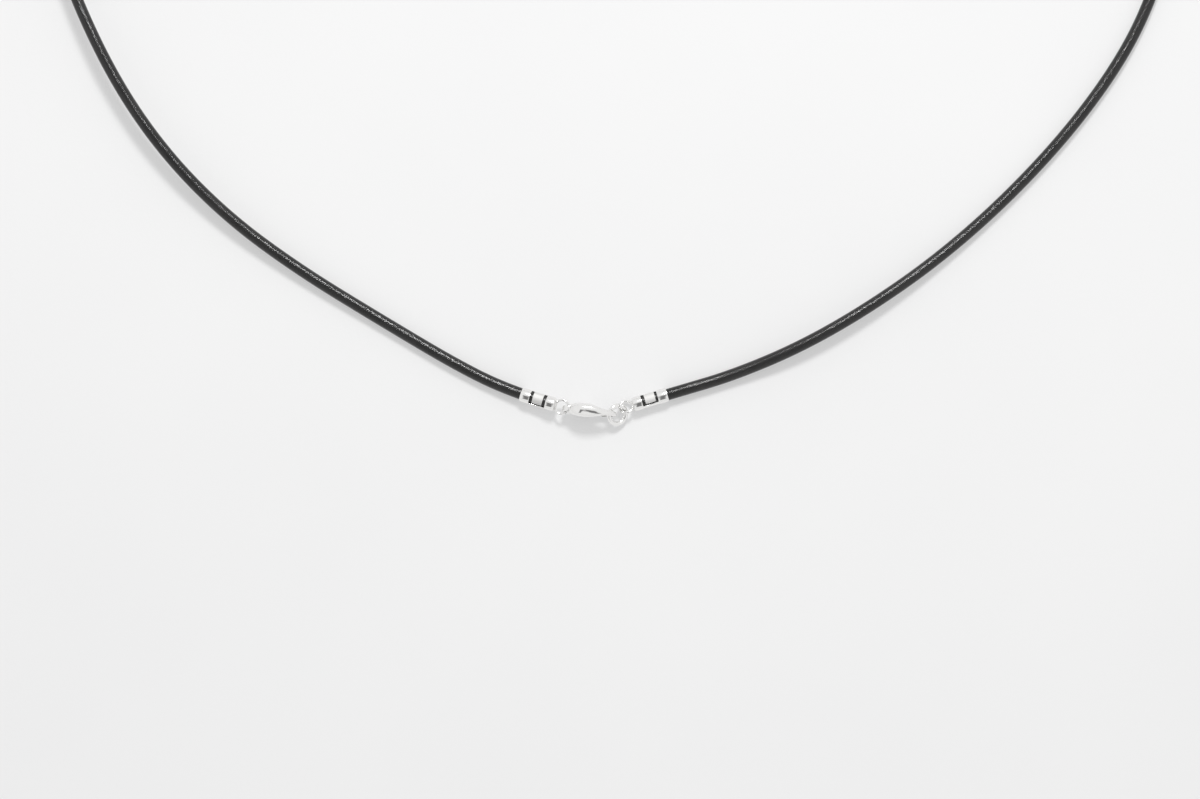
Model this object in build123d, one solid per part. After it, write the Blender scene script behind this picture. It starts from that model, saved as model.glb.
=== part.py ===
from build123d import *
from math import asin, cos, degrees, pi, radians, sin, tan
import os

# A leather cord necklace with crimped end caps, a lobster clasp and a jump ring.
# It lies closed on a flat surface. Sizes are in millimetres and angles in degrees.
# X runs along the closed hardware, Y towards the far side of the loop, Z up from the surface.
# The origin is on the surface, under the middle of the hardware.

# Cord
cord_diameter = 2.0
exit_length = 1.8
arc_share = 0.45

# End caps, each a tube with a closed end and a loop soldered to it
cord_clearance = 0.05
cap_wall = 0.2
cap_length = 6.15
band_crown = 0.05
mouth_rounding = 0.06
end_wall = 0.7
end_rounding = 0.3
loop_reach = 1.2
loop_wire = 0.45
loop_diameter = 2.8
solder_radius = 0.4
solder_length = 0.3

# The tongue of a cap: two cross slits and a bowed seam leave its lower edge free and pressed in
near_slit = 1.95
far_slit = 4.26
slit_width = 0.36
wide_slit_width = 0.5
seam_width = 0.16
seam_bow = 0.12
left_seam_turn = 45.0
right_seam_turn = 26.0
tongue_top_turn = 66.0
press_depth = 0.07

# Clasp body
clasp_length = 9.25
clasp_height = 4.2
clasp_thickness = 2.45
clasp_rounding = 0.25
tail_radius = 1.05
tail_hole_radius = 0.55
tail_thickness = 1.0
tail_height = 1.85
tail_rounding = 0.18
nose_wall = 0.55
eye_length = 4.3
eye_height = 2.4
eye_drop = 0.2
eye_rounding = 0.15
lip_length = 1.75
lip_bevel_height = 0.63
cheek_length = 4.6

# Clasp lever and its pin
pivot_along = 3.3
pivot_height = 1.35
hub_radius = 0.8
lever_thickness = 0.8
lever_side_gap = 0.1
hub_gap = 0.12
gate_gap = 0.12
gate_bottom = 0.22
gate_land = 0.21
gate_rise = 0.4
gate_start = 0.96
fin_drop = 0.45
fin_width = 0.6
fin_setback = 0.1
fin_foot = 0.3
fin_root_turn = -69.0
pin_radius = 0.3
pin_clearance = 0.03
pin_length = 2.2

# Jump ring
ring_diameter = 4.0
ring_wire = 0.8
ring_split = 0.12
ring_split_turn = 98.0

# Where the pieces lie
tail_x = -4.39
tail_y = -0.35
clasp_turn = -6.5
clasp_lean = 6.0
floor_gap = 0.05
hook_gap = 0.24
hook_drop = 0.12
left_cap_turn = 163.0
right_cap_turn = 16.5
right_loop_turn = -35.0
ring_turn = -8.0
ring_drop = 29.0
ring_roll = 12.0
link_turn = 50.0
link_shift = 0.45
link_shift_turn = 42.0
link_shift_drop = 16.5

# Sections of the clasp body, each with a round top and bottom: place as a share of its length,
# middle and half height as shares of its height, half width as a share of half its thickness.
CLASP_SECTIONS = [
    (0.115, 0.440, 0.195, 0.540),
    (0.160, 0.450, 0.245, 0.700),
    (0.220, 0.465, 0.315, 0.850),
    (0.310, 0.495, 0.420, 0.970),
    (0.420, 0.515, 0.485, 1.000),
    (0.550, 0.515, 0.485, 0.900),
    (0.660, 0.500, 0.465, 0.700),
    (0.760, 0.475, 0.430, 0.500),
    (0.870, 0.450, 0.340, 0.380),
    (0.950, 0.445, 0.220, 0.340),
    (1.000, 0.450, 0.105, 0.300),
]

# The cord's route over the surface, from the left cap to the right cap.
CORD_ROUTE = [
    (-22.9, 6.8, 1.0),
    (-36.7, 15.0, 1.0),
    (-50.4, 23.4, 1.5),
    (-62.5, 32.3, 2.4),
    (-73.0, 43.0, 3.6),
    (-81.5, 55.4, 4.3),
    (-88.7, 70.6, 4.3),
    (-93.4, 85.0, 3.2),
    (-93.8, 98.5, 1.8),
    (-88.5, 110.5, 1.0),
    (-77.0, 119.8, 1.0),
    (-59.0, 125.7, 1.0),
    (-35.5, 128.7, 1.0),
    (-7.5, 129.4, 1.0),
    (21.5, 128.5, 1.0),
    (48.0, 125.4, 1.0),
    (70.5, 119.0, 1.0),
    (87.0, 108.8, 1.0),
    (96.5, 96.5, 1.0),
    (98.9, 84.0, 1.0),
    (96.4, 72.8, 1.0),
    (91.2, 61.0, 1.0),
    (82.2, 48.2, 1.0),
    (70.7, 35.7, 1.0),
    (58.6, 25.1, 1.4),
    (46.2, 16.5, 2.4),
    (34.9, 10.1, 2.4),
    (23.7, 5.4, 1.1),
]

cord_radius = cord_diameter / 2
bore_radius = cord_radius + cord_clearance
cap_radius = bore_radius + cap_wall
cap_mouth = loop_reach + cap_length
loop_radius = (loop_diameter - loop_wire) / 2
ring_radius = (ring_diameter - ring_wire) / 2
eye_end = clasp_length - nose_wall
eye_middle = eye_end - eye_length / 2
eye_centre_height = clasp_height / 2 - eye_drop
lip_end = eye_end - lip_length
slot_width = lever_thickness + 2 * lever_side_gap
UP = Vector(0, 0, 1)


def direction(turn, rise=0.0):
    """A unit vector at a plan angle, climbing by the rise angle."""
    flat = cos(radians(rise))
    return Vector(cos(radians(turn)) * flat, sin(radians(turn)) * flat, sin(radians(rise)))


# Frames of the pieces

def clasp_frame():
    """X runs from the tail to the nose, Y up the clasp as it stands on its edge."""
    along = direction(clasp_turn)
    across = direction(clasp_turn + 90)
    up = UP * cos(radians(clasp_lean)) + across * sin(radians(clasp_lean))
    stand = floor_gap + fin_drop * cos(radians(clasp_lean)) + lever_thickness / 2 * sin(radians(clasp_lean))
    tail = Vector(tail_x, tail_y, stand + tail_height * cos(radians(clasp_lean)))
    origin = tail - along * tail_radius - up * tail_height
    return Plane(origin=origin, x_dir=along, z_dir=along.cross(up))


def cap_frame(point, to_centre, turn):
    """Z runs from the loop's centre to the mouth, which rests on the surface; X is the upper side."""
    fall = degrees(asin((point.Z - cap_radius) / (to_centre + cap_mouth)))
    axis = direction(turn, -fall)
    top = (UP - axis * axis.dot(UP)).normalized()
    return Plane(origin=point + axis * to_centre, x_dir=top, z_dir=axis)


def ring_frame(clasp):
    """X runs from the clasp's hook to the ring's centre, Z is the ring's axis."""
    along = eye_end - hook_gap - ring_wire / 2
    seat = clasp.from_local_coords(Vector(along, clasp_height / 2 - hook_drop, 0))
    out = direction(ring_turn, -ring_drop)
    level = direction(ring_turn + 90)
    side = level * cos(radians(ring_roll)) + out.cross(level) * sin(radians(ring_roll))
    return Plane(origin=seat + out * ring_radius, x_dir=out, z_dir=out.cross(side))


def rim_in_tail(clasp):
    """Where the left cap's loop passes through the clasp's tail."""
    return clasp.from_local_coords(Vector(tail_radius, tail_height, 0))


def centre_by_ring(ring):
    """The right cap's loop centre, beside the place where the ring's wire passes through it."""
    turn = radians(link_turn)
    wire = ring.from_local_coords(Vector(ring_radius * cos(turn), ring_radius * sin(turn), 0))
    return wire + direction(link_shift_turn, -link_shift_drop) * link_shift


# Leather cord

def run_radii(points):
    """The largest arc at each corner that leaves both runs a straight middle."""
    radii = []
    for before, corner, after in zip(points, points[1:], points[2:]):
        run_in = corner - before
        run_out = after - corner
        turn = run_in.get_angle(run_out)
        shorter = min(run_in.length, run_out.length)
        radii.append(arc_share * shorter / tan(radians(turn / 2)))
    return radii


def cord_points(left, right):
    """The route with both ends on the axes of the caps' bores."""
    blind = loop_reach + end_wall + cord_clearance
    exit_height = cap_mouth + exit_length
    start = [left.from_local_coords(Vector(0, 0, z)) for z in (blind, exit_height)]
    end = [right.from_local_coords(Vector(0, 0, z)) for z in (exit_height, blind)]
    return start + [Vector(*point) for point in CORD_ROUTE] + end


def leather_cord(points):
    radii = run_radii(points)
    path = FilletPolyline(*points, radius=radii)
    start = Plane(origin=path @ 0, z_dir=path % 0)
    cord = sweep(start * Circle(cord_radius), path=path)
    section = pi * cord_radius ** 2
    print("cord length", round(path.length, 2))
    print("cord volume over section times length", round(cord.volume / (section * path.length), 5))
    print("cord radii", [round(radius, 1) for radius in radii])
    return cord


# End caps

def wedge(start, sweep_angle, low, high):
    """A pie slice about Z, wider than a cap, between two heights."""
    steps = 4
    reach = 2 * cap_radius
    angles = [radians(start + sweep_angle * step / steps) for step in range(steps + 1)]
    rim = [(reach * cos(angle), reach * sin(angle)) for angle in angles]
    face = make_face(Polyline((0, 0), *rim, close=True))
    return Pos(0, 0, low) * extrude(face, amount=high - low)


def cross_slit(height, width, start, sweep_angle):
    """A slit across the cap with rounded ends."""
    slit = wedge(start, sweep_angle, height - width / 2, height + width / 2)
    slit -= Cylinder(cap_radius / 2, 4 * cap_mouth)
    for angle in (start, start + sweep_angle):
        rounded = Pos(cap_radius, 0, height) * Rot(0, 90, 0) * Cylinder(width / 2, cap_radius)
        slit += Rot(0, 0, angle) * rounded
    return slit


def seam_slit(hand, low, high):
    """The bowed slit along the tongue's free edge, cut along X."""
    chord = high - low
    bend = chord ** 2 / (8 * seam_bow) + seam_bow / 2
    bow = Cylinder(bend + seam_width / 2, cap_radius) - Cylinder(bend - seam_width / 2, cap_radius)
    bow = Pos(cap_radius, hand * (bend - seam_bow), (low + high) / 2) * Rot(0, 90, 0) * bow
    return bow & Pos(cap_radius, 0, (low + high) / 2) * Box(cap_radius, cap_radius, chord)


def cap_loop(turn):
    """The round loop, with its axis turned about the cap's axis, and its solder."""
    loop = Rot(0, 0, turn) * Rot(0, 90, 0) * Torus(loop_radius, loop_wire / 2)
    low = loop_reach - solder_length / 2
    return loop + Pos(0, 0, low) * Cylinder(solder_radius, solder_length)


def cap_shell():
    """The closed tube: a crowned band at each end and a straight stretch between them."""
    edge = cap_radius - band_crown
    far = cap_mouth - far_slit
    near = cap_mouth - near_slit
    outline = [
        Line((0, loop_reach), (edge, loop_reach)),
        ThreePointArc((edge, loop_reach), (cap_radius, (loop_reach + far) / 2), (edge, far)),
        Line((edge, far), (edge, near)),
        ThreePointArc((edge, near), (cap_radius, (near + cap_mouth) / 2), (edge, cap_mouth)),
        Line((edge, cap_mouth), (0, cap_mouth)),
        Line((0, cap_mouth), (0, loop_reach)),
    ]
    shell = revolve(Plane.XZ * make_face(outline), Axis.Z)
    rims = shell.edges().filter_by(GeomType.CIRCLE).sort_by(Axis.Z)
    shell = fillet(rims[0], end_rounding)
    rims = shell.edges().filter_by(GeomType.CIRCLE).sort_by(Axis.Z)
    return fillet(rims[-1], mouth_rounding)


def end_cap(hand, seam_turn, far_width, loop_turn):
    """A cap about Z, with its loop's centre at the origin; hand mirrors the tongue."""
    cap = cap_shell() + cap_loop(loop_turn)
    bore_bottom = loop_reach + end_wall
    bore_length = cap_mouth - bore_bottom
    cap -= Pos(0, 0, bore_bottom + bore_length / 2) * Cylinder(bore_radius, bore_length)
    near = cap_mouth - near_slit
    far = cap_mouth - far_slit
    start = -hand * seam_turn
    sweep_angle = hand * (seam_turn + tongue_top_turn)
    pressed_form = Pos(-press_depth, 0, (near + far) / 2) * Cylinder(cap_radius - band_crown, cap_length)
    bow_turn = hand * degrees(seam_bow / cap_radius)
    free_side = wedge(start - bow_turn, sweep_angle + bow_turn, far, near)
    cap -= free_side - Rot(0, 0, start) * pressed_form
    cap -= cross_slit(near, slit_width, start, sweep_angle)
    cap -= cross_slit(far, far_width, start, sweep_angle)
    cap -= Rot(0, 0, start) * seam_slit(hand, far, near)
    return cap


# Clasp

def clasp_blank():
    """The body before it is opened, lofted through its sections."""
    sections = []
    for along, middle, tall, wide in CLASP_SECTIONS:
        centre = (along * clasp_length, middle * clasp_height, 0)
        across = Plane(origin=centre, x_dir=(0, 1, 0), z_dir=(1, 0, 0))
        sections.append(across * SlotOverall(2 * tall * clasp_height, wide * clasp_thickness))
    blank = loft(sections)
    ends = blank.faces().sort_by(Axis.X)
    return fillet(ends[0].edges() + ends[-1].edges(), clasp_rounding)


def tail_hole():
    return Pos(tail_radius, tail_height, 0) * Cylinder(tail_hole_radius, 2 * clasp_thickness)


def clasp_tail():
    tail = Pos(tail_radius, tail_height, 0) * Cylinder(tail_radius, tail_thickness)
    tail -= tail_hole()
    return fillet(tail.edges().filter_by(GeomType.CIRCLE), tail_rounding)


def opened_blank():
    """The blank with the eye cut through it and the eye's edges rounded."""
    blank = clasp_blank() - tail_hole()
    outline = Pos(eye_middle, eye_centre_height) * Ellipse(eye_length / 2, eye_height / 2)
    eye = extrude(outline, amount=clasp_thickness, both=True)
    opened = blank - eye
    return fillet(new_edges(blank, eye, combined=opened), eye_rounding)


def mouth_cut():
    """The way into the eye that the lever closes, with a bevelled lip."""
    below = -clasp_height
    outline = [
        (cheek_length, eye_centre_height),
        (cheek_length, below),
        (lip_end - lip_bevel_height, below),
        (lip_end - lip_bevel_height, 0),
        (lip_end, lip_bevel_height),
        (lip_end, eye_centre_height),
    ]
    return extrude(make_face(Polyline(*outline, close=True)), amount=clasp_thickness, both=True)


def lever_slot():
    left = pivot_along - hub_radius - hub_gap
    right = eye_middle
    top = pivot_height + hub_radius + hub_gap
    low = -clasp_height
    return Pos((left + right) / 2, (top + low) / 2, 0) * Box(right - left, top - low, slot_width)


def clasp_body():
    body = opened_blank() + clasp_tail()
    body -= mouth_cut()
    body -= lever_slot()
    body -= Pos(pivot_along, pivot_height, 0) * Cylinder(pin_radius + pin_clearance, 2 * clasp_thickness)
    return body


def clasp_lever():
    """The gate with its hub and the fin that a thumb presses."""
    tip = lip_end - gate_gap
    bevel_top = lip_bevel_height + gate_gap / 2
    gate_top = bevel_top + gate_land
    fin_tip = cheek_length - fin_setback
    root = direction(fin_root_turn) * hub_radius
    outline = [
        (pivot_along, pivot_height + hub_radius),
        (pivot_along + gate_start, gate_top + gate_rise),
        (tip, gate_top),
        (tip, bevel_top),
        (tip - bevel_top + gate_bottom, gate_bottom),
        (cheek_length + fin_foot, gate_bottom),
        (fin_tip, -fin_drop),
        (fin_tip - fin_width, -fin_drop),
        (pivot_along + root.X, pivot_height + root.Y),
    ]
    face = make_face(Polyline(*outline, close=True))
    face += Pos(pivot_along, pivot_height) * Circle(hub_radius)
    face -= Pos(pivot_along, pivot_height) * Circle(pin_radius + pin_clearance)
    return extrude(face, amount=lever_thickness / 2, both=True)


def lever_pin():
    return Pos(pivot_along, pivot_height, 0) * Cylinder(pin_radius, pin_length)


# Jump ring

def jump_ring():
    """A round wire ring about Z with a fine split."""
    gap_angle = degrees(ring_split / ring_radius)
    section = Pos(ring_radius, 0, 0) * Rot(90, 0, 0) * Circle(ring_wire / 2)
    ring = revolve(section, Axis.Z, 360 - gap_angle)
    return Rot(0, 0, ring_split_turn + gap_angle / 2) * ring


def place(frame, piece):
    return frame.location * piece


clasp = clasp_frame()
ring = ring_frame(clasp)
left_cap = cap_frame(rim_in_tail(clasp), loop_radius, left_cap_turn)
right_cap = cap_frame(centre_by_ring(ring), 0, right_cap_turn)
route = cord_points(left_cap, right_cap)

pieces = {
    "leather_cord": leather_cord(route),
    "end_cap_left": place(left_cap, end_cap(1, left_seam_turn, slit_width, 0)),
    "end_cap_right": place(right_cap, end_cap(-1, right_seam_turn, wide_slit_width, right_loop_turn)),
    "clasp_body": place(clasp, clasp_body()),
    "clasp_lever": place(clasp, clasp_lever()),
    "lever_pin": place(clasp, lever_pin()),
    "jump_ring": place(ring, jump_ring()),
}

os.makedirs("parts", exist_ok=True)
for name, piece in pieces.items():
    export_step(piece, f"parts/{name}.step")
    print(name, "volume", round(piece.volume, 3))

pivot = clasp.from_local_coords(Vector(pivot_along, pivot_height, 0))
eye_centre = clasp.from_local_coords(Vector(eye_middle, eye_centre_height, 0))
print("lever pivot", tuple(pivot), "axis", tuple(clasp.z_dir))
print("eye centre", tuple(eye_centre))
print("ring centre", tuple(ring.origin), "axis", tuple(ring.z_dir))
print("cord starts", [tuple(point) for point in route[:2]])
print("cord ends", [tuple(point) for point in route[-2:]])
hardware = Compound([piece for name, piece in pieces.items() if name != "leather_cord"])
print("hardware box", hardware.bounding_box())
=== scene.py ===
"""Looks of the black leather cord necklace: cord, polished silver findings, floor, light and camera.

The scene is in metres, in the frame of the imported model: the necklace lies on the floor at z = 0, the
closed hardware lies along X, and the loop of the cord goes round on the +Y side. Sizes below are in
millimetres and angles in degrees, unless a comment says otherwise.
"""
import math

import bmesh
import bpy
from mathutils import Matrix, Vector


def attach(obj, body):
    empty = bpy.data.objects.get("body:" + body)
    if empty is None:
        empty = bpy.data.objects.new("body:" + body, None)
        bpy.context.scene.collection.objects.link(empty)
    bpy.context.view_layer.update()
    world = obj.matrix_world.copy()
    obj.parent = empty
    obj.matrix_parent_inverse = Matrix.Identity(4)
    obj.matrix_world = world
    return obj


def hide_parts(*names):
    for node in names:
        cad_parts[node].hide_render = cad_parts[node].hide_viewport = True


MM = 0.001

# The photograph's frame: its width in pixels and on the floor, and what its middle looks at
IMAGE_WIDTH = 1200
PIXELS_PER_MM = 5.85
VIEW_CENTRE = (1.0, 1.27, 1.0)
LENS = 100.0
SENSOR_WIDTH = 36.0

# The cord
CORD_DIAMETER = 2.0
CORD_SIDES = 28
CURVE_STEPS = 24
LEFT_BORE = (-7.352, 0.556, 1.965)
LEFT_EXIT = (-14.177, 2.642, 1.012)
RIGHT_EXIT = (14.236, 2.607, 1.231)
RIGHT_BORE = (7.332, 0.563, 1.308)
CORD_ROUTE = [
    (-22.9, 6.8, 1.0), (-36.7, 15.0, 1.0), (-50.4, 23.4, 1.5), (-62.5, 32.3, 2.4),
    (-73.0, 43.0, 3.6), (-81.5, 55.4, 4.3), (-88.7, 70.6, 4.3), (-93.4, 85.0, 3.2),
    (-93.8, 98.5, 1.8), (-88.5, 110.5, 1.0), (-77.0, 119.8, 1.0), (-59.0, 125.7, 1.0),
    (-35.5, 128.7, 1.0), (-7.5, 129.4, 1.0), (21.5, 128.5, 1.0), (48.0, 125.4, 1.0),
    (70.5, 119.0, 1.0), (87.0, 108.8, 1.0), (96.5, 96.5, 1.0), (98.9, 84.0, 1.0),
    (96.4, 72.8, 1.0), (91.2, 61.0, 1.0), (82.2, 48.2, 1.0), (70.7, 35.7, 1.0),
    (58.6, 25.1, 1.4), (46.2, 16.5, 2.4), (34.9, 10.1, 2.4), (23.7, 5.4, 1.1),
]

# The end caps, along Z from the middle of the loop to the mouth
CAP_RADIUS = 1.25
CAP_CROWN = 0.05
CAP_FLOOR = 1.2
CAP_MOUTH = 7.35
FLOOR_ROUNDING = 0.3
MOUTH_ROUNDING = 0.06
BORE_RADIUS = 1.05
BORE_BOTTOM = 1.9
CORD_START = 1.95
NEAR_SLIT = 5.4
FAR_SLIT = 3.09
NARROW_SLIT = 0.4
WIDE_SLIT = 0.52
TONGUE_TOP_TURN = 66.0
LEFT_SEAM_TURN = 52.0
RIGHT_SEAM_TURN = 29.0
PRESS_DEPTH = 0.09
SEAM_WIDTH = 0.19
SEAM_BOW = 0.12
LOOP_RADIUS = 1.175
LOOP_WIRE_RADIUS = 0.225
LEFT_LOOP_TURN = 0.0
RIGHT_LOOP_TURN = -35.0
SOLDER_RADIUS = 0.4
SOLDER_LENGTH = 0.3
# A cap's cutters reach from inside its wall to outside it; the steps are those of its curves
CUTTER_INSIDE = CAP_RADIUS / 2.0
CUTTER_OUTSIDE = 1.5 * CAP_RADIUS
CUTTER_EXTRA = 1.0
CAP_ROUNDING_STEPS = 8
CAP_CROWN_STEPS = 24
CAP_SWEEP_STEPS = 36
SEAM_STEPS = 12

# The clasp, with X from its tail to its nose and Y up it as it stands on its edge
CLASP_TAIL = (-4.39, -0.35, 2.379)
CLASP_TURN = -6.5
CLASP_LEAN = 6.0
CLASP_LENGTH = 9.25
CLASP_HEIGHT = 4.2
CLASP_THICKNESS = 2.45
CLASP_ROUNDING = 0.25
BACK_FULLNESS = 0.09
TAIL_PLACE = (1.05, 1.85)
TAIL_RADIUS = 1.05
TAIL_HOLE_RADIUS = 0.55
TAIL_THICKNESS = 1.0
TAIL_ROUNDING = 0.18
EYE_PLACE = (6.55, 1.9)
EYE_LENGTH = 4.3
EYE_HEIGHT = 2.4
MOUTH_OUTLINE = [(4.6, 1.9), (4.6, -1.0), (6.32, -1.0), (6.32, 0.0), (6.95, 0.63), (6.95, 1.9)]
LEVER_SLOT_START = 2.38
LEVER_SLOT_END = 6.55
LEVER_SLOT_TOP = 2.27
LEVER_SLOT_WIDTH = 1.0
PIVOT_PLACE = (3.3, 1.35)
PIN_HOLE_RADIUS = 0.33
# The steps of its curves
CLASP_END_STEPS = 6
CLASP_LENGTH_STEPS = 80
TAIL_ROUNDING_STEPS = 6
# Its sections: place as a share of its length, middle and half height as shares of its height, and
# half width as a share of half its thickness
CLASP_SECTIONS = [
    (0.115, 0.440, 0.200, 0.540),
    (0.160, 0.485, 0.290, 0.700),
    (0.220, 0.507, 0.377, 0.840),
    (0.310, 0.516, 0.450, 0.950),
    (0.390, 0.513, 0.480, 0.990),
    (0.454, 0.513, 0.485, 0.980),
    (0.550, 0.508, 0.478, 0.880),
    (0.660, 0.498, 0.461, 0.680),
    (0.760, 0.475, 0.430, 0.490),
    (0.870, 0.450, 0.340, 0.380),
    (0.950, 0.445, 0.220, 0.340),
    (1.000, 0.450, 0.105, 0.300),
]

# The jump ring: its middle, the direction from it that its split is measured from, and its axis
RING_CENTRE = (3.9622, -1.3248, 1.7328)
RING_START = (0.8661, -0.1217, -0.4848)
RING_AXIS = (0.4407, -0.2719, 0.8555)
RING_RADIUS = 1.6
RING_WIRE_RADIUS = 0.4
RING_SPLIT = 0.12
RING_SPLIT_TURN = 98.0

# How fine the smooth metal meshes are, how much and how often they are smoothed, and the steps in a
# full turn
GRID = 0.045
SMOOTHING_SHARE = 0.5
SMOOTHING_TIMES = 4
ROUND_STEPS = 96

# The sockets of a colour mix, which have no names of their own: its share, its two colours, its result
MIX_SHARE = 0
MIX_UNDER = 6
MIX_OVER = 7
MIX_RESULT = 2

# Black leather, from its dark waxed patches to its rougher worn ones. In all the materials a noise has
# its scale, detail and roughness, colours have a value and the colour there, and depths are in metres
LEATHER_PATCHES = (330.0, 3.0, 0.5)
LEATHER_COLOURS = [(0.3, (0.008, 0.0078, 0.0078)), (0.7, (0.013, 0.0125, 0.0122))]
LEATHER_ROUGHNESS = (0.06, 0.2)
LEATHER_MIRROR = 0.46
CREASE_STRETCH = (1.0, 9.0, 1.0)
CREASES = (3.0, 4.0, 0.55)
CREASE_DEPTH = 0.00003
DENTS = (1300.0, 3.0, 0.55)
DENT_DEPTH = 0.000022
GRAIN_SCALE = 5200.0
GRAIN_EDGE = [(0.0, 0.0), (0.25, 1.0)]
GRAIN_DEPTH = 0.000008

# Polished silver with painted shade darkening its colour in hollows, faint waves and polishing scratches
PAINTED_SHADE_DISTANCE = 0.0006
SILVER_SHADED_COLOURS = [(0.25, (0.62, 0.615, 0.605)), (0.75, (0.88, 0.875, 0.865))]
SILVER_ROUGHNESS = (0.05, 0.13)
WAVES = (420.0, 3.0, 0.5)
WAVE_STRENGTH = 0.12
WAVE_DEPTH = 0.00004
SCRATCH_STRETCH = (900.0, 5200.0, 5200.0)
SCRATCHES = (1.0, 2.0, 0.5)
SCRATCH_STRENGTH = 0.06
SCRATCH_DEPTH = 0.000008

# How much rougher a cap's satin tongue is than the polished silver round it, how much painted shade darkens
# its colour, and the grey that the painted shade darkens it towards
SATIN_ROUGHNESS = 0.68
SATIN_PAINTED_SHADE = 0.3
SATIN_SHADE_GREY = 0.1

# The floor: half its side in metres, then its greys, finish, painted glow that lightens its shadows, and
# tooth
FLOOR_HALF = 1.6
FLOOR_CLOUDS = (16.0, 4.0, 0.5)
FLOOR_COLOURS = [(0.35, (0.356, 0.356, 0.357)), (0.65, (0.365, 0.365, 0.365))]
FLOOR_ROUGHNESS = 0.85
FLOOR_MIRROR = 0.2
FLOOR_PAINTED_GLOW = 0.38
TOOTH = (1500.0, 3.0, 0.6)
TOOTH_STRENGTH = 0.12
TOOTH_DEPTH = 0.0001

# The soft box: its height above the floor and turn to the right in degrees, its distance and side in
# metres, and its power in watts
KEY_ELEVATION = 50.0
KEY_TURN = 6.0
KEY_DISTANCE = 0.65
KEY_SIZE = 0.13
KEY_POWER = 3.4

# The room's brightness, and its grey from level to straight up
ROOM_STRENGTH = 1.0
ROOM_GREYS = [(0.0, 0.8), (0.25, 0.87), (0.6, 0.9), (1.0, 0.9)]

# The two dark legs of the camera's stand over the near side, in degrees: from where to where they reach
# down from straight up, and for each how far to the right it starts and spreads for each degree down
LEG_TOP = -6.0
LEG_BOTTOM = 54.0
LEGS = ((-17.0, -0.17), (5.0, 0.2))
LEG_HALF_WIDTH = 6.0
LEG_GREY = 0.19

# The camera seen from the necklace: a dim round patch near the top of the room, in degrees, its grey,
# and the share of each dark shape's half width over which its edge fades
CAMERA_FALL = 5.0
CAMERA_RADIUS = 16.0
CAMERA_GREY = 0.5
SOFT_EDGE = 0.25

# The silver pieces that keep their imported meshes
PACKED_SILVER = ("clasp_lever", "lever_pin")


def metres(point):
    """A point given in millimetres, in metres."""
    return Vector(point) * MM


def new_material(name):
    """An empty node material, its node tree and its shader."""
    material = bpy.data.materials.new(name)
    material.use_nodes = True
    tree = material.node_tree
    shader = tree.nodes["Principled BSDF"]
    return material, tree, shader


def ramp(tree, source, stops):
    """A colour ramp over a value; each stop is a place and a grey or a colour."""
    node = tree.nodes.new("ShaderNodeValToRGB")
    elements = node.color_ramp.elements
    while len(elements) < len(stops):
        elements.new(0.5)
    for element, (place, colour) in zip(elements, stops):
        element.position = place
        if isinstance(colour, (int, float)):
            colour = (colour, colour, colour)
        element.color = (*colour, 1.0)
    tree.links.new(source, node.inputs["Fac"])
    return node.outputs["Color"]


def map_value(tree, source, low, high):
    """A value from 0 to 1 stretched to a low and a high."""
    node = tree.nodes.new("ShaderNodeMapRange")
    node.inputs["To Min"].default_value = low
    node.inputs["To Max"].default_value = high
    tree.links.new(source, node.inputs["Value"])
    return node.outputs["Result"]


def math_node(tree, operation, first, second=None):
    """One sum over values or plain numbers."""
    node = tree.nodes.new("ShaderNodeMath")
    node.operation = operation
    for place, value in enumerate((first, second)):
        if isinstance(value, (int, float)):
            node.inputs[place].default_value = value
        elif value is not None:
            tree.links.new(value, node.inputs[place])
    return node.outputs["Value"]


def blend(tree, share, under, grey):
    """A colour that turns to a grey where the share is 1."""
    mix = tree.nodes.new("ShaderNodeMix")
    mix.data_type = "RGBA"
    mix.inputs[MIX_OVER].default_value = (grey, grey, grey, 1.0)
    tree.links.new(share, mix.inputs[MIX_SHARE])
    tree.links.new(under, mix.inputs[MIX_UNDER])
    return mix.outputs[MIX_RESULT]


def bump(tree, height, strength, distance, under=None):
    """A bump of that height; under is the bump it adds to."""
    node = tree.nodes.new("ShaderNodeBump")
    node.inputs["Strength"].default_value = strength
    node.inputs["Distance"].default_value = distance
    tree.links.new(height, node.inputs["Height"])
    if under is not None:
        tree.links.new(under, node.inputs["Normal"])
    return node.outputs["Normal"]


def noise(tree, vector, scale, detail, roughness):
    """A noise texture's value over that vector."""
    node = tree.nodes.new("ShaderNodeTexNoise")
    node.inputs["Scale"].default_value = scale
    node.inputs["Detail"].default_value = detail
    node.inputs["Roughness"].default_value = roughness
    tree.links.new(vector, node.inputs["Vector"])
    return node.outputs["Fac"]


def stretched(tree, vector, scale):
    """A vector with each axis scaled."""
    node = tree.nodes.new("ShaderNodeMapping")
    node.inputs["Scale"].default_value = scale
    tree.links.new(vector, node.inputs["Vector"])
    return node.outputs["Vector"]


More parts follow.
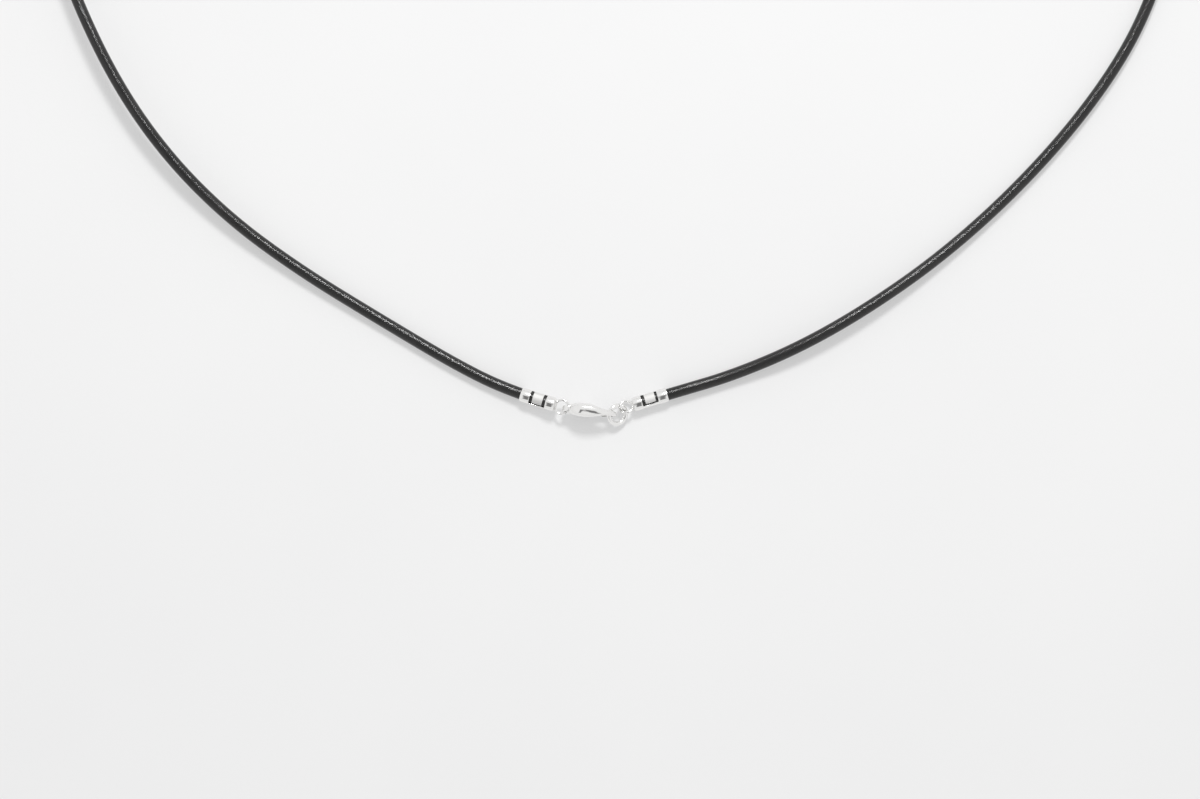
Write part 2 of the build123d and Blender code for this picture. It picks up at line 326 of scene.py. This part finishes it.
def leather_material():
    """Waxed black leather: soft dents, fine grain, creases along the cord and patches of worn gloss."""
    material, tree, shader = new_material("black_leather")
    place = tree.nodes.new("ShaderNodeTexCoord")
    patches = noise(tree, place.outputs["Object"], *LEATHER_PATCHES)
    colour = ramp(tree, patches, LEATHER_COLOURS)
    tree.links.new(colour, shader.inputs["Base Color"])
    rough = map_value(tree, patches, *LEATHER_ROUGHNESS)
    tree.links.new(rough, shader.inputs["Roughness"])
    shader.inputs["Specular IOR Level"].default_value = LEATHER_MIRROR
    lengthwise = stretched(tree, place.outputs["UV"], CREASE_STRETCH)
    creases = noise(tree, lengthwise, *CREASES)
    dents = noise(tree, place.outputs["Object"], *DENTS)
    cells = tree.nodes.new("ShaderNodeTexVoronoi")
    cells.feature = "DISTANCE_TO_EDGE"
    cells.inputs["Scale"].default_value = GRAIN_SCALE
    tree.links.new(place.outputs["Object"], cells.inputs["Vector"])
    grain = ramp(tree, cells.outputs["Distance"], GRAIN_EDGE)
    normal = bump(tree, creases, 1.0, CREASE_DEPTH)
    normal = bump(tree, dents, 1.0, DENT_DEPTH, normal)
    normal = bump(tree, grain, 1.0, GRAIN_DEPTH, normal)
    tree.links.new(normal, shader.inputs["Normal"])
    return material


def silver_material():
    """Polished silver with fine scratches, painted shade in its hollows, and satin with painted shade where
    the mesh says so.
    """
    material, tree, shader = new_material("polished_silver")
    place = tree.nodes.new("ShaderNodeTexCoord")
    waves = noise(tree, place.outputs["Object"], *WAVES)
    lengthwise = stretched(tree, place.outputs["Object"], SCRATCH_STRETCH)
    scratches = noise(tree, lengthwise, *SCRATCHES)
    # Painted shade: an ambient occlusion value darkens the silver's colour in hollows and near other
    # surfaces
    painted_hollow_shade = tree.nodes.new("ShaderNodeAmbientOcclusion")
    painted_hollow_shade.inputs["Distance"].default_value = PAINTED_SHADE_DISTANCE
    colour = ramp(tree, painted_hollow_shade.outputs["AO"], SILVER_SHADED_COLOURS)
    shader.inputs["Metallic"].default_value = 1.0
    satin_and_shade = tree.nodes.new("ShaderNodeAttribute")
    satin_and_shade.attribute_name = "satin_and_shade"
    rough = map_value(tree, waves, *SILVER_ROUGHNESS)
    rougher = math_node(tree, "MULTIPLY", satin_and_shade.outputs["Fac"], SATIN_ROUGHNESS)
    rough = math_node(tree, "ADD", rough, rougher)
    tree.links.new(rough, shader.inputs["Roughness"])
    # Painted shade: the satin tongue's colour is darkened towards a grey, so it shows an even, dimmer grey
    # than the silver round it
    tongue_shade = math_node(tree, "MULTIPLY", satin_and_shade.outputs["Fac"], SATIN_PAINTED_SHADE)
    tree.links.new(blend(tree, tongue_shade, colour, SATIN_SHADE_GREY), shader.inputs["Base Color"])
    normal = bump(tree, waves, WAVE_STRENGTH, WAVE_DEPTH)
    normal = bump(tree, scratches, SCRATCH_STRENGTH, SCRATCH_DEPTH, normal)
    tree.links.new(normal, shader.inputs["Normal"])
    return material


def floor_material():
    """A matt white card with a fine tooth and a faint painted glow that lightens the shadows on it."""
    material, tree, shader = new_material("white_card")
    place = tree.nodes.new("ShaderNodeTexCoord")
    clouds = noise(tree, place.outputs["Object"], *FLOOR_CLOUDS)
    colour = ramp(tree, clouds, FLOOR_COLOURS)
    tree.links.new(colour, shader.inputs["Base Color"])
    shader.inputs["Roughness"].default_value = FLOOR_ROUGHNESS
    shader.inputs["Specular IOR Level"].default_value = FLOOR_MIRROR
    # Painted light: the card glows although it is no lamp, which lightens the shadows cast on it
    shader.inputs["Emission Color"].default_value = (1.0, 1.0, 1.0, 1.0)
    shader.inputs["Emission Strength"].default_value = FLOOR_PAINTED_GLOW
    tooth = noise(tree, place.outputs["Object"], *TOOTH)
    normal = bump(tree, tooth, TOOTH_STRENGTH, TOOTH_DEPTH)
    tree.links.new(normal, shader.inputs["Normal"])
    return material


def cord_curve():
    """The cord's route as one smooth curve with no thickness."""
    points = [LEFT_BORE, LEFT_EXIT, *CORD_ROUTE, RIGHT_EXIT, RIGHT_BORE]
    curve = bpy.data.curves.new("cord_route", "CURVE")
    curve.dimensions = "3D"
    curve.resolution_u = CURVE_STEPS
    spline = curve.splines.new("NURBS")
    spline.points.add(len(points) - 1)
    for control, point in zip(spline.points, points):
        control.co = (*metres(point), 1.0)
    spline.order_u = 3
    spline.use_endpoint_u = True
    return curve


def route_line():
    """The points along the cord's curve, in order."""
    route = bpy.data.objects.new("cord_route", cord_curve())
    bpy.context.scene.collection.objects.link(route)
    bpy.context.view_layer.update()
    line = bpy.data.meshes.new_from_object(route)
    points = [vertex.co.copy() for vertex in line.vertices]
    bpy.data.meshes.remove(line)
    bpy.data.objects.remove(route)
    return points


def tube_mesh(name, line, radius, sides):
    """A closed round tube along a line; its texture counts diameters along and turns round it."""
    verts = []
    faces = []
    along = [0.0]
    for before, after in zip(line, line[1:]):
        along.append(along[-1] + (after - before).length)
    side = Vector((0.0, 0.0, 1.0))
    for index, point in enumerate(line):
        before = line[max(index - 1, 0)]
        after = line[min(index + 1, len(line) - 1)]
        forward = (after - before).normalized()
        side = (side - forward * side.dot(forward)).normalized()
        across = forward.cross(side)
        for step in range(sides):
            turn = 2.0 * math.pi * step / sides
            verts.append(point + radius * (math.cos(turn) * side + math.sin(turn) * across))
    for ring in range(len(line) - 1):
        for step in range(sides):
            following = (step + 1) % sides
            here = ring * sides
            there = here + sides
            faces.append((here + step, here + following, there + following, there + step))
    last = (len(line) - 1) * sides
    faces.append(tuple(reversed(range(sides))))
    faces.append(tuple(range(last, last + sides)))
    mesh = bpy.data.meshes.new(name)
    mesh.from_pydata(verts, [], faces)
    texture = mesh.uv_layers.new(name="UVMap")
    for ring in range(len(line) - 1):
        for step in range(sides):
            face = mesh.polygons[ring * sides + step]
            points = ((ring, step), (ring, step + 1), (ring + 1, step + 1), (ring + 1, step))
            for loop, (place, turn) in zip(face.loop_indices, points):
                texture.data[loop].uv = (along[place] / (2.0 * radius), turn / sides)
    for face in mesh.polygons:
        face.use_smooth = True
    mesh.update()
    return mesh


def make_cord(leather):
    """The leather cord, from the bottom of one cap's bore to the bottom of the other's."""
    line = route_line()
    mesh = tube_mesh("cord", line, CORD_DIAMETER / 2.0 * MM, CORD_SIDES)
    cord = bpy.data.objects.new("cord", mesh)
    bpy.context.scene.collection.objects.link(cord)
    mesh.materials.append(leather)
    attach(cord, "necklace")
    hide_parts("leather_cord")


def skin(rings, closed=False):
    """A mesh over rings with the same number of points; its ends are capped unless it closes on itself."""
    count = len(rings[0])
    verts = [point for ring in rings for point in ring]
    faces = []
    spans = len(rings) if closed else len(rings) - 1
    for place in range(spans):
        here = place * count
        there = (place + 1) % len(rings) * count
        for step in range(count):
            following = (step + 1) % count
            faces.append((here + step, here + following, there + following, there + step))
    if not closed:
        faces.append(tuple(range(count)))
        faces.append(tuple(range(len(verts) - count, len(verts))))
    mesh = bpy.data.meshes.new("skin")
    mesh.from_pydata(verts, [], faces)
    shape = bmesh.new()
    shape.from_mesh(mesh)
    bmesh.ops.recalc_face_normals(shape, faces=shape.faces)
    shape.to_mesh(mesh)
    shape.free()
    return mesh


def circle(centre, first, second, radius):
    """A ring of points about a centre, in the plane of two directions."""
    turns = [2.0 * math.pi * step / ROUND_STEPS for step in range(ROUND_STEPS)]
    centre = Vector(centre)
    return [centre + radius * (math.cos(turn) * first + math.sin(turn) * second) for turn in turns]


def lathe(profile):
    """A round mesh about Z; the profile's points are a radius and a height."""
    across = Vector((1.0, 0.0, 0.0)), Vector((0.0, 1.0, 0.0))
    return skin([circle((0.0, 0.0, height), *across, radius) for radius, height in profile])


def rod(start, end, radius):
    """A round bar between two points."""
    start = Vector(start)
    end = Vector(end)
    first = (end - start).orthogonal().normalized()
    second = (end - start).normalized().cross(first)
    return skin([circle(start, first, second, radius), circle(end, first, second, radius)])


def prism(outline, shift):
    """A mesh over a flat outline of points, moved along the shift to its other end."""
    return skin([outline, [point + shift for point in outline]])


def put(mesh):
    """An object with that mesh in the scene."""
    thing = bpy.data.objects.new("form", mesh)
    bpy.context.scene.collection.objects.link(thing)
    return thing


def baked(thing):
    """The object's mesh with its modifiers applied; the object goes."""
    bpy.context.view_layer.update()
    depsgraph = bpy.context.evaluated_depsgraph_get()
    mesh = bpy.data.meshes.new_from_object(thing.evaluated_get(depsgraph))
    bpy.data.objects.remove(thing)
    return mesh


def cut(mesh, cutters):
    """The mesh with each of the cutters taken away."""
    thing = put(mesh)
    tools = [put(cutter) for cutter in cutters]
    for tool in tools:
        modifier = thing.modifiers.new("cut", "BOOLEAN")
        modifier.operation = "DIFFERENCE"
        modifier.solver = "EXACT"
        modifier.object = tool
    result = baked(thing)
    for tool in tools:
        bpy.data.objects.remove(tool)
    return result


def melted(meshes):
    """Closed meshes that overlap, as one even mesh with softly rounded edges."""
    whole = bmesh.new()
    for mesh in meshes:
        whole.from_mesh(mesh)
    joined = bpy.data.meshes.new("joined")
    whole.to_mesh(joined)
    whole.free()
    thing = put(joined)
    grid = thing.modifiers.new("grid", "REMESH")
    grid.mode = "VOXEL"
    grid.voxel_size = GRID
    smooth = thing.modifiers.new("smooth", "SMOOTH")
    smooth.factor = SMOOTHING_SHARE
    smooth.iterations = SMOOTHING_TIMES
    return baked(thing)


def frame_at(origin, across, along):
    """The place at an origin with its X across and its Z along, in millimetres."""
    across = Vector(across).normalized()
    along = Vector(along).normalized()
    turned = Matrix((across, along.cross(across), along)).transposed().to_4x4()
    return Matrix.Translation(Vector(origin)) @ turned


def silver_piece(name, mesh, place, silver):
    """A silver piece made in millimetres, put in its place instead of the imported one."""
    mesh.transform(Matrix.Scale(MM, 4) @ place)
    for face in mesh.polygons:
        face.use_smooth = True
    mesh.materials.clear()
    mesh.materials.append(silver)
    piece = bpy.data.objects.new(name, mesh)
    bpy.context.scene.collection.objects.link(piece)
    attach(piece, "necklace")
    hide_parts(name.replace("smooth_", ""))


def cap_outline():
    """The shell's radius and height from its closed end to its mouth."""
    edge = CAP_RADIUS - CAP_CROWN

    def crowned(height, low, high):
        share = (2.0 * height - low - high) / (high - low)
        return edge + CAP_CROWN * (1.0 - share ** 2)

    profile = []
    rounded = crowned(CAP_FLOOR + FLOOR_ROUNDING, CAP_FLOOR, FAR_SLIT)
    for step in range(CAP_ROUNDING_STEPS + 1):
        turn = math.radians(90.0 * step / CAP_ROUNDING_STEPS)
        radius = rounded - FLOOR_ROUNDING * (1.0 - math.sin(turn))
        profile.append((radius, CAP_FLOOR + FLOOR_ROUNDING * (1.0 - math.cos(turn))))
    span = FAR_SLIT - CAP_FLOOR - FLOOR_ROUNDING
    for step in range(1, CAP_CROWN_STEPS + 1):
        height = CAP_FLOOR + FLOOR_ROUNDING + span * step / CAP_CROWN_STEPS
        profile.append((crowned(height, CAP_FLOOR, FAR_SLIT), height))
    span = CAP_MOUTH - MOUTH_ROUNDING - NEAR_SLIT
    for step in range(CAP_CROWN_STEPS + 1):
        height = NEAR_SLIT + span * step / CAP_CROWN_STEPS
        profile.append((crowned(height, NEAR_SLIT, CAP_MOUTH), height))
    radius, height = profile[-1]
    profile.append((radius - MOUTH_ROUNDING, height + MOUTH_ROUNDING))
    return profile


def spoke(turn):
    """The direction out from a cap's axis, turned from its upper side."""
    return Vector((math.cos(turn), math.sin(turn), 0.0))


def up_by(height):
    """A step of that height along a cap's axis."""
    return Vector((0.0, 0.0, height))


def press_cutter(hand, start, sweep):
    """What pressing takes off a cap's tongue: nothing at its root and the most at its seam."""
    edge = CAP_RADIUS - CAP_CROWN
    begin = start - hand * SEAM_BOW / CAP_RADIUS
    turns = [begin + sweep * step / CAP_SWEEP_STEPS for step in range(CAP_SWEEP_STEPS + 1)]
    inner = []
    for turn in turns:
        away = turn - start
        reach = math.sqrt(edge ** 2 - (PRESS_DEPTH * math.sin(away)) ** 2)
        inner.append(spoke(turn) * (reach - PRESS_DEPTH * math.cos(away)))
    outer = [spoke(turn) * CUTTER_OUTSIDE for turn in reversed(turns)]
    outline = [point + up_by(FAR_SLIT) for point in inner + outer]
    return prism(outline, up_by(NEAR_SLIT - FAR_SLIT))


def slit_cutters(start, sweep, height, width):
    """A slit across a cap with round ends, as one wide cutter and two rods."""
    turns = [start + sweep * step / CAP_SWEEP_STEPS for step in range(CAP_SWEEP_STEPS + 1)]
    low = up_by(height - width / 2.0)
    inner = [spoke(turn) * CUTTER_INSIDE + low for turn in turns]
    outer = [spoke(turn) * CUTTER_OUTSIDE + low for turn in reversed(turns)]
    cutters = [prism(inner + outer, up_by(width))]
    for turn in (start, start + sweep):
        near = spoke(turn) * CUTTER_INSIDE + up_by(height)
        far = spoke(turn) * CUTTER_OUTSIDE + up_by(height)
        cutters.append(rod(near, far, width / 2.0))
    return cutters


def seam_cutter(hand, start):
    """The bowed seam along the end of a cap's tongue, from one slit to the other."""
    half = (NEAR_SLIT - FAR_SLIT) / 2.0
    middle = (NEAR_SLIT + FAR_SLIT) / 2.0
    bend = half ** 2 / (2.0 * SEAM_BOW) + SEAM_BOW / 2.0
    level = spoke(start + math.pi / 2.0) * hand
    steps = [half * step / SEAM_STEPS for step in range(-SEAM_STEPS, SEAM_STEPS + 1)]

    def bowed(radius, place):
        out = bend - SEAM_BOW - math.sqrt(radius ** 2 - place ** 2)
        return spoke(start) * CUTTER_INSIDE + level * out + up_by(middle + place)

    outline = [bowed(bend + SEAM_WIDTH / 2.0, place) for place in steps]
    outline += [bowed(bend - SEAM_WIDTH / 2.0, place) for place in reversed(steps)]
    return prism(outline, spoke(start) * (CUTTER_OUTSIDE - CUTTER_INSIDE))


def cap_cutters(hand, seam_turn, near_width):
    """What is taken from a cap: its bore, the pressed tongue's surround, two slits and a bowed seam."""
    start = math.radians(-hand * seam_turn)
    sweep = math.radians(hand * (seam_turn + TONGUE_TOP_TURN))
    cutters = [rod(up_by(BORE_BOTTOM), up_by(CAP_MOUTH + CUTTER_EXTRA), BORE_RADIUS)]
    cutters.append(press_cutter(hand, start, sweep))
    cutters += slit_cutters(start, sweep, NEAR_SLIT, near_width)
    cutters += slit_cutters(start, sweep, FAR_SLIT, WIDE_SLIT)
    cutters.append(seam_cutter(hand, start))
    return cutters


def hoop(radius, wire, missing=0.0):
    """A round wire about Z, closed, or with a piece of that angle missing about +X."""
    turns = [missing / 2.0 + (2.0 * math.pi - missing) * step / ROUND_STEPS for step in range(ROUND_STEPS)]
    if missing:
        turns.append(2.0 * math.pi - missing / 2.0)
    up = Vector((0.0, 0.0, 1.0))
    rings = [circle(spoke(turn) * radius, spoke(turn), up, wire) for turn in turns]
    return skin(rings, closed=not missing)


def mark_tongue(mesh, hand, seam_turn):
    """Marks the outer side of a cap's tongue as satin, with painted shade on its colour."""
    satin_and_shade = mesh.attributes.new("satin_and_shade", "FLOAT", "POINT")
    for vertex, mark in zip(mesh.vertices, satin_and_shade.data):
        turn = hand * math.degrees(math.atan2(vertex.co.y, vertex.co.x))
        between = FAR_SLIT < vertex.co.z < NEAR_SLIT and -seam_turn < turn < TONGUE_TOP_TURN
        outside = math.hypot(vertex.co.x, vertex.co.y) > BORE_RADIUS
        mark.value = 1.0 if between and outside else 0.0


def make_cap(name, bore, mouth, hand, seam_turn, near_width, loop_turn, silver):
    """An end cap on the line from its bore's bottom to the cord's exit, with its tongue and loop."""
    axis = (Vector(mouth) - Vector(bore)).normalized()
    up = Vector((0.0, 0.0, 1.0))
    shell = cut(lathe(cap_outline()), cap_cutters(hand, seam_turn, near_width))
    loop = hoop(LOOP_RADIUS, LOOP_WIRE_RADIUS)
    upright = Matrix.Rotation(math.radians(90.0), 4, "Y")
    loop.transform(Matrix.Rotation(math.radians(loop_turn), 4, "Z") @ upright)
    low = CAP_FLOOR - SOLDER_LENGTH / 2.0
    solder = rod(up_by(low), up_by(low + SOLDER_LENGTH), SOLDER_RADIUS)
    place = frame_at(Vector(bore) - axis * CORD_START, up - axis * axis.dot(up), axis)
    mesh = melted([shell, loop, solder])
    mark_tongue(mesh, hand, seam_turn)
    silver_piece(name, mesh, place, silver)


def section_at(share):
    """The clasp's middle, half height and half width at a share of its length, from its sections."""
    places = [section[0] for section in CLASP_SECTIONS]
    index = 0
    while index < len(places) - 2 and share > places[index + 1]:
        index += 1
    first = max(index - 1, 0)
    last = min(index + 2, len(places) - 1)
    span = places[index + 1] - places[index]
    t = (share - places[index]) / span
    rows = [CLASP_SECTIONS[row] for row in (first, index, index + 1, last)]
    values = []
    for before, here, there, after in list(zip(*rows))[1:]:
        leave = (there - before) / (places[index + 1] - places[first]) * span
        arrive = (after - here) / (places[last] - places[index]) * span
        eased = 3.0 * t ** 2 - 2.0 * t ** 3
        lift = leave * (t - 2.0 * t ** 2 + t ** 3) + arrive * (t ** 3 - t ** 2)
        values.append(here + (there - here) * eased + lift)
    return values


def clasp_ring(along, share, inset):
    """The clasp's outline across at a place along it, drawn in by an inset and fuller on its back."""
    middle, tall, wide = section_at(share)
    radius = wide * CLASP_THICKNESS / 2.0
    straight = tall * CLASP_HEIGHT - radius
    radius -= inset
    ring = []
    for step in range(ROUND_STEPS):
        turn = 2.0 * math.pi * (step + 0.5) / ROUND_STEPS
        side = 1.0 if math.cos(turn) > 0.0 else -1.0
        height = middle * CLASP_HEIGHT + side * straight + radius * math.cos(turn)
        if side > 0.0 and math.sin(turn) < 0.0:
            height += BACK_FULLNESS * radius * math.sin(2.0 * turn) ** 2
        ring.append(Vector((along, height, radius * math.sin(turn))))
    return ring


def clasp_blank():
    """The clasp before it is opened, with rounded ends."""
    start = CLASP_SECTIONS[0][0] * CLASP_LENGTH
    rings = []
    for step in range(CLASP_END_STEPS):
        turn = math.radians(90.0 * step / CLASP_END_STEPS)
        along = CLASP_ROUNDING * (1.0 - math.cos(turn))
        inset = CLASP_ROUNDING * (1.0 - math.sin(turn))
        rings.append((start + along, inset))
    low = start + CLASP_ROUNDING
    high = CLASP_LENGTH - CLASP_ROUNDING
    for step in range(CLASP_LENGTH_STEPS + 1):
        rings.append((low + (high - low) * step / CLASP_LENGTH_STEPS, 0.0))
    for along, inset in reversed(rings[:CLASP_END_STEPS]):
        rings.append((start + CLASP_LENGTH - along, inset))
    return skin([clasp_ring(along, along / CLASP_LENGTH, inset) for along, inset in rings])


def clasp_cutters():
    """What is taken from the clasp: its eye, the mouth of the eye, the lever's slot and the round holes."""
    deep = Vector((0.0, 0.0, CLASP_THICKNESS * 2.0))
    back = -deep / 2.0
    half_length = Vector((EYE_LENGTH / 2.0, 0.0, 0.0))
    half_height = Vector((0.0, EYE_HEIGHT / 2.0, 0.0))
    eye = circle((*EYE_PLACE, 0.0), half_length, half_height, 1.0)
    cutters = [prism([point + back for point in eye], deep)]
    mouth = [Vector((*point, 0.0)) + back for point in MOUTH_OUTLINE]
    cutters.append(prism(mouth, deep))
    low = MOUTH_OUTLINE[1][1]
    slot = [
        (LEVER_SLOT_START, low),
        (LEVER_SLOT_END, low),
        (LEVER_SLOT_END, LEVER_SLOT_TOP),
        (LEVER_SLOT_START, LEVER_SLOT_TOP),
    ]
    slot = [Vector((*point, -LEVER_SLOT_WIDTH / 2.0)) for point in slot]
    cutters.append(prism(slot, Vector((0.0, 0.0, LEVER_SLOT_WIDTH))))
    for place, radius in ((PIVOT_PLACE, PIN_HOLE_RADIUS), (TAIL_PLACE, TAIL_HOLE_RADIUS)):
        start = Vector((*place, 0.0))
        cutters.append(rod(start + back, start - back, radius))
    return cutters


def clasp_tail():
    """The ring at the clasp's tail, with rounded edges."""
    outer = TAIL_RADIUS - TAIL_ROUNDING
    inner = TAIL_HOLE_RADIUS + TAIL_ROUNDING
    top = TAIL_THICKNESS / 2.0 - TAIL_ROUNDING
    roundings = ((outer, top, 0.0), (inner, top, 90.0), (inner, -top, 180.0), (outer, -top, 270.0))
    profile = []
    for radius, height, begin in roundings:
        for step in range(TAIL_ROUNDING_STEPS + 1):
            turn = math.radians(begin + 90.0 * step / TAIL_ROUNDING_STEPS)
            out = radius + TAIL_ROUNDING * math.cos(turn)
            profile.append((out, height + TAIL_ROUNDING * math.sin(turn)))
    centre = Vector((*TAIL_PLACE, 0.0))
    rings = []
    for step in range(ROUND_STEPS):
        across = spoke(2.0 * math.pi * step / ROUND_STEPS)
        rings.append([centre + across * out + Vector((0.0, 0.0, height)) for out, height in profile])
    return skin(rings, closed=True)


def make_clasp(silver):
    """The clasp's body, standing on its edge and leaning a little."""
    turn = math.radians(CLASP_TURN)
    lean = math.radians(CLASP_LEAN)
    along = Vector((math.cos(turn), math.sin(turn), 0.0))
    across = Vector((-math.sin(turn), math.cos(turn), 0.0))
    up = Vector((0.0, 0.0, math.cos(lean))) + across * math.sin(lean)
    origin = Vector(CLASP_TAIL) - along * TAIL_PLACE[0] - up * TAIL_PLACE[1]
    place = frame_at(origin, along, along.cross(up))
    body = cut(clasp_blank(), clasp_cutters())
    silver_piece("smooth_clasp_body", melted([body, clasp_tail()]), place, silver)


def make_jump_ring(silver):
    """The round wire ring with its fine split."""
    mesh = hoop(RING_RADIUS, RING_WIRE_RADIUS, RING_SPLIT / RING_RADIUS)
    mesh.transform(Matrix.Rotation(math.radians(RING_SPLIT_TURN), 4, "Z"))
    silver_piece("smooth_jump_ring", mesh, frame_at(RING_CENTRE, RING_START, RING_AXIS), silver)


def make_silver(silver):
    """Every metal piece: caps, clasp and ring as smooth meshes, the lever and its pin as packed."""
    left = (1, LEFT_SEAM_TURN, WIDE_SLIT, LEFT_LOOP_TURN)
    right = (-1, RIGHT_SEAM_TURN, NARROW_SLIT, RIGHT_LOOP_TURN)
    make_cap("smooth_end_cap_left", LEFT_BORE, LEFT_EXIT, *left, silver)
    make_cap("smooth_end_cap_right", RIGHT_BORE, RIGHT_EXIT, *right, silver)
    make_clasp(silver)
    make_jump_ring(silver)
    for name in PACKED_SILVER:
        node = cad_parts[name]
        node.data.materials.clear()
        node.data.materials.append(silver)


def make_camera():
    """A camera straight above, framing what the photograph frames."""
    width = IMAGE_WIDTH / PIXELS_PER_MM * MM
    data = bpy.data.cameras.new("camera")
    data.lens = LENS
    data.sensor_width = SENSOR_WIDTH
    camera = bpy.data.objects.new("camera", data)
    camera.location = metres(VIEW_CENTRE) + Vector((0.0, 0.0, width * LENS / SENSOR_WIDTH))
    bpy.context.scene.collection.objects.link(camera)
    bpy.context.scene.camera = camera


def make_floor():
    """A wide white card at z = 0."""
    mesh = bpy.data.meshes.new("floor")
    signs = ((-1.0, -1.0), (1.0, -1.0), (1.0, 1.0), (-1.0, 1.0))
    points = [(x * FLOOR_HALF, y * FLOOR_HALF, 0.0) for x, y in signs]
    mesh.from_pydata(points, [], [(0, 1, 2, 3)])
    mesh.materials.append(floor_material())
    floor = bpy.data.objects.new("floor", mesh)
    bpy.context.scene.collection.objects.link(floor)


def make_key_light():
    """A soft box on the far side of the necklace, aimed at the clasp."""
    light = bpy.data.lights.new("soft_box", "AREA")
    light.shape = "SQUARE"
    light.size = KEY_SIZE
    light.energy = KEY_POWER
    lamp = bpy.data.objects.new("soft_box", light)
    height = math.radians(KEY_ELEVATION)
    turn = math.radians(KEY_TURN)
    level = Vector((math.sin(turn), math.cos(turn), 0.0)) * math.cos(height)
    lamp.location = KEY_DISTANCE * (level + Vector((0.0, 0.0, math.sin(height))))
    lamp.rotation_mode = "QUATERNION"
    lamp.rotation_quaternion = (-lamp.location).to_track_quat("-Z", "Y")
    bpy.context.scene.collection.objects.link(lamp)


def soft_band(tree, value, middle, half):
    """1 where an angle is within half of the middle and 0 outside, with a soft edge."""
    away = math_node(tree, "ABSOLUTE", math_node(tree, "SUBTRACT", value, math.radians(middle)))
    edge = tree.nodes.new("ShaderNodeMapRange")
    edge.interpolation_type = "SMOOTHSTEP"
    edge.inputs["From Min"].default_value = math.radians((1.0 - SOFT_EDGE) * half)
    edge.inputs["From Max"].default_value = math.radians((1.0 + SOFT_EDGE) * half)
    edge.inputs["To Min"].default_value = 1.0
    edge.inputs["To Max"].default_value = 0.0
    tree.links.new(away, edge.inputs["Value"])
    return edge.outputs["Result"]


def make_world():
    """A white room with a dim camera overhead and the dark legs of its stand over the near side."""
    world = bpy.data.worlds.new("room")
    world.use_nodes = True
    tree = world.node_tree
    background = tree.nodes["Background"]
    place = tree.nodes.new("ShaderNodeTexCoord")
    axes = tree.nodes.new("ShaderNodeSeparateXYZ")
    tree.links.new(place.outputs["Generated"], axes.inputs["Vector"])
    room = ramp(tree, axes.outputs["Z"], ROOM_GREYS)
    near = math_node(tree, "MULTIPLY", axes.outputs["Y"], -1.0)
    fall = math_node(tree, "ARCTAN2", near, axes.outputs["Z"])
    side = math_node(tree, "ARCSINE", axes.outputs["X"])
    tall = soft_band(tree, fall, (LEG_TOP + LEG_BOTTOM) / 2.0, (LEG_BOTTOM - LEG_TOP) / 2.0)
    legs = []
    for start, spread in LEGS:
        spreading = math_node(tree, "SUBTRACT", side, math_node(tree, "MULTIPLY", fall, spread))
        legs.append(soft_band(tree, spreading, start, LEG_HALF_WIDTH))
    wide = math_node(tree, "MAXIMUM", legs[0], legs[1])
    stand = math_node(tree, "MULTIPLY", tall, wide)
    camera_fall = math.radians(CAMERA_FALL)
    high = math_node(tree, "MULTIPLY", axes.outputs["Z"], math.cos(camera_fall))
    high = math_node(tree, "ADD", high, math_node(tree, "MULTIPLY", near, math.sin(camera_fall)))
    camera = soft_band(tree, math_node(tree, "ARCCOSINE", high), 0.0, CAMERA_RADIUS)
    dimmed = blend(tree, camera, room, CAMERA_GREY)
    tree.links.new(blend(tree, stand, dimmed, LEG_GREY), background.inputs["Color"])
    background.inputs["Strength"].default_value = ROOM_STRENGTH
    bpy.context.scene.world = world


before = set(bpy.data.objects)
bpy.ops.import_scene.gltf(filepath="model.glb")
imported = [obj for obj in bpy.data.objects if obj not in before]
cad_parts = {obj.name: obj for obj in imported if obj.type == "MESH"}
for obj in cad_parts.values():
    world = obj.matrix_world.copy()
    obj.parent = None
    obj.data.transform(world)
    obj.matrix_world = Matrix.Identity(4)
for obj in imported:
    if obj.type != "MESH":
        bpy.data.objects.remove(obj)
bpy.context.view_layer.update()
make_camera()
make_cord(leather_material())
make_silver(silver_material())
make_floor()
make_key_light()
make_world()
bpy.context.scene.view_settings.view_transform = "Standard"
